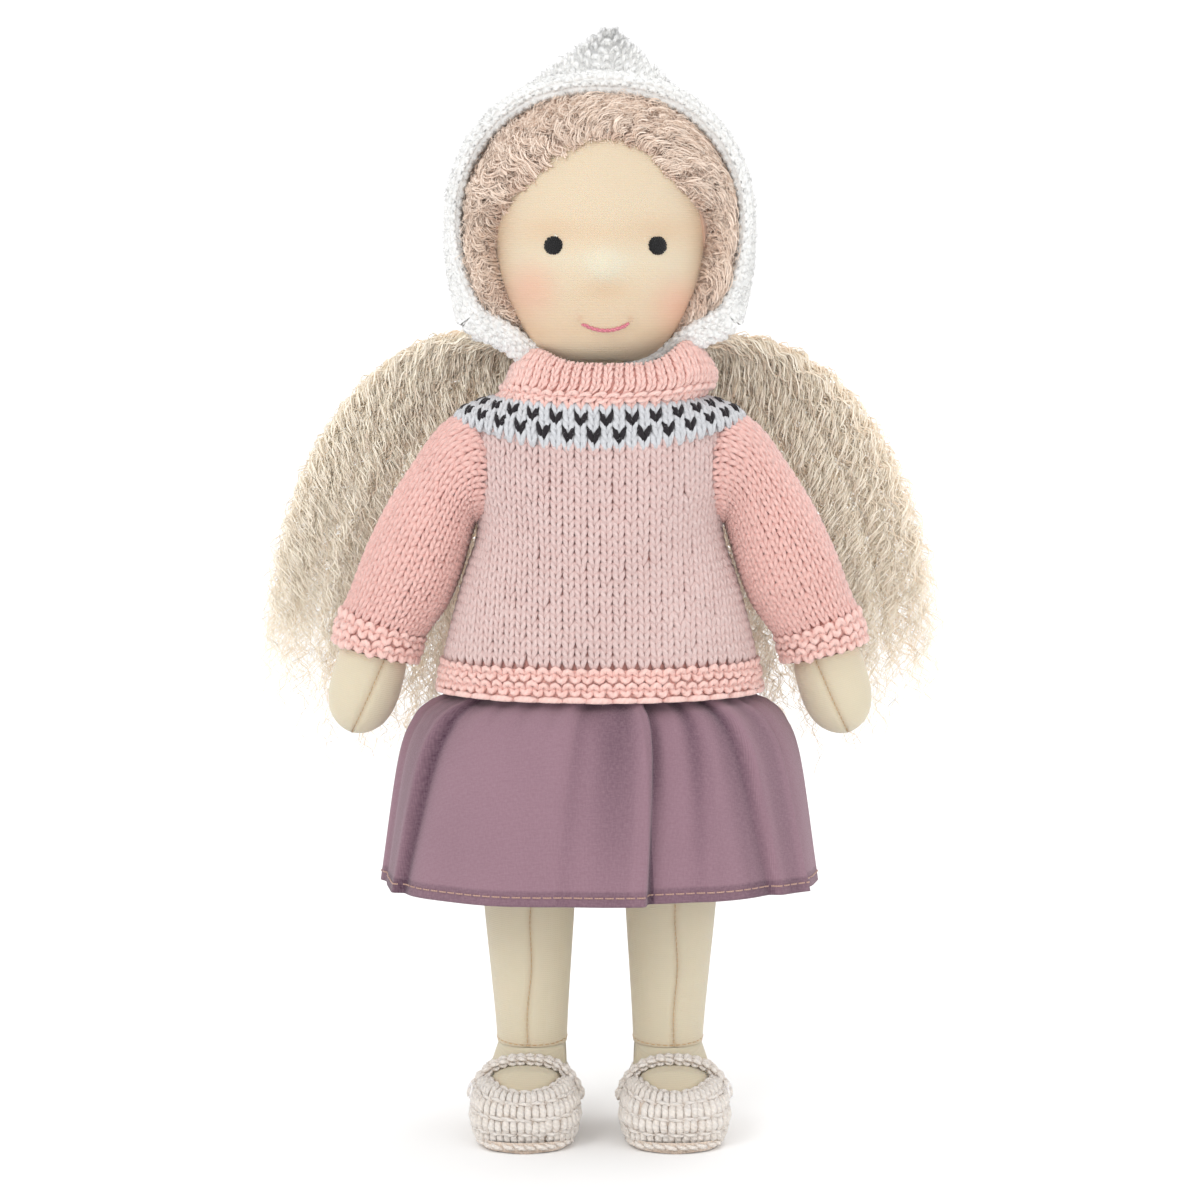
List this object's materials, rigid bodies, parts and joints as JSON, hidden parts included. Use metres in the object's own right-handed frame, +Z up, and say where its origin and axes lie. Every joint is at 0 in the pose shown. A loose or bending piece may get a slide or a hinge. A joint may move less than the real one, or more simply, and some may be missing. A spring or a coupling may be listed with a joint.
{
  "type": "waldorf doll",
  "caption": "Standing stuffed cloth doll with a knitted pixie bonnet, yoked sweater, gathered skirt, curly mohair hair and crocheted slippers; head, arms and legs turn at their seams.",
  "frame": {"origin": "middle of the doll at floor level, under the soles", "axes": "+Z up; the doll faces -Y; its own left side is at +X"},
  "size_m": [0.27, 0.113, 0.4162],
  "materials": {
    "cream_jersey": "fine cotton jersey, matt",
    "wool_fill": "carded wool stuffing",
    "black_thread": "embroidery thread",
    "pink_thread": "embroidery thread",
    "white_thread": "plain thread and crochet cotton",
    "mohair": "wavy mohair",
    "white_wool": "hand knitted wool, fuzzy",
    "pink_wool": "hand knitted wool, fuzzy",
    "mauve_cotton": "thin woven cotton, matt",
    "cream_crochet": "crocheted wool",
    "pearl_button": "pearly"
  },
  "bodies": {
    "torso": {"torso_skin": "cream_jersey", "torso_stuffing": "wool_fill", "sweater_body": "pink_wool", "sweater_yoke": "white_wool", "sweater_collar": "pink_wool", "sweater_hem": "pink_wool", "sweater_button_top": "pearl_button", "sweater_button_middle": "pearl_button", "sweater_button_low": "pearl_button", "skirt_panel": "mauve_cotton", "skirt_hem": "mauve_cotton", "skirt_waistband": "mauve_cotton", "skirt_elastic": "white_thread"},
    "head": {"head_skin": "cream_jersey", "head_core": "wool_fill", "neck_tie": "white_thread", "eye_left": "black_thread", "eye_right": "black_thread", "mouth": "pink_thread", "wig_cap": "white_thread", "hair_short_curls": "mohair", "hair_long_left": "mohair", "hair_long_right": "mohair", "bonnet_crown": "white_wool", "bonnet_brim": "white_wool", "bonnet_chin_strap": "white_wool"},
    "arm_left": {"arm_skin_left": "cream_jersey", "arm_stuffing_left": "wool_fill", "sleeve_left": "pink_wool", "cuff_left": "pink_wool"},
    "arm_right": {"arm_skin_right": "cream_jersey", "arm_stuffing_right": "wool_fill", "sleeve_right": "pink_wool", "cuff_right": "pink_wool"},
    "leg_left": {"leg_skin_left": "cream_jersey", "leg_stuffing_left": "wool_fill", "foot_left": "cream_jersey", "shoe_upper_left": "cream_crochet", "shoe_sole_left": "cream_crochet", "shoe_strap_left": "cream_crochet", "shoe_button_left": "pearl_button"},
    "leg_right": {"leg_skin_right": "cream_jersey", "leg_stuffing_right": "wool_fill", "foot_right": "cream_jersey", "shoe_upper_right": "cream_crochet", "shoe_sole_right": "cream_crochet", "shoe_strap_right": "cream_crochet", "shoe_button_right": "pearl_button"}
  },
  "joints": [
    {"name": "neck_turn", "type": "hinge", "parent": "torso", "child": "head", "pos_m": [0, 0, 0.27], "axis": [0, 0, 1], "range_deg": [-35, 35], "deforming": ["hair_long_left", "hair_long_right"]},
    {"name": "shoulder_left", "type": "hinge", "parent": "torso", "child": "arm_left", "pos_m": [0.0466, 0, 0.253], "axis": [-1, 0, 0], "range_deg": [-40, 150], "deforming": ["hair_long_left"]},
    {"name": "shoulder_right", "type": "hinge", "parent": "torso", "child": "arm_right", "pos_m": [-0.0466, 0, 0.253], "axis": [-1, 0, 0], "range_deg": [-40, 150], "deforming": ["hair_long_right"]},
    {"name": "hip_left", "type": "hinge", "parent": "torso", "child": "leg_left", "pos_m": [0.028, 0, 0.14], "axis": [-1, 0, 0], "range_deg": [-20, 90], "deforming": ["skirt_panel", "skirt_hem"]},
    {"name": "hip_right", "type": "hinge", "parent": "torso", "child": "leg_right", "pos_m": [-0.028, 0, 0.14], "axis": [-1, 0, 0], "range_deg": [-20, 90], "deforming": ["skirt_panel", "skirt_hem"]}
  ]
}
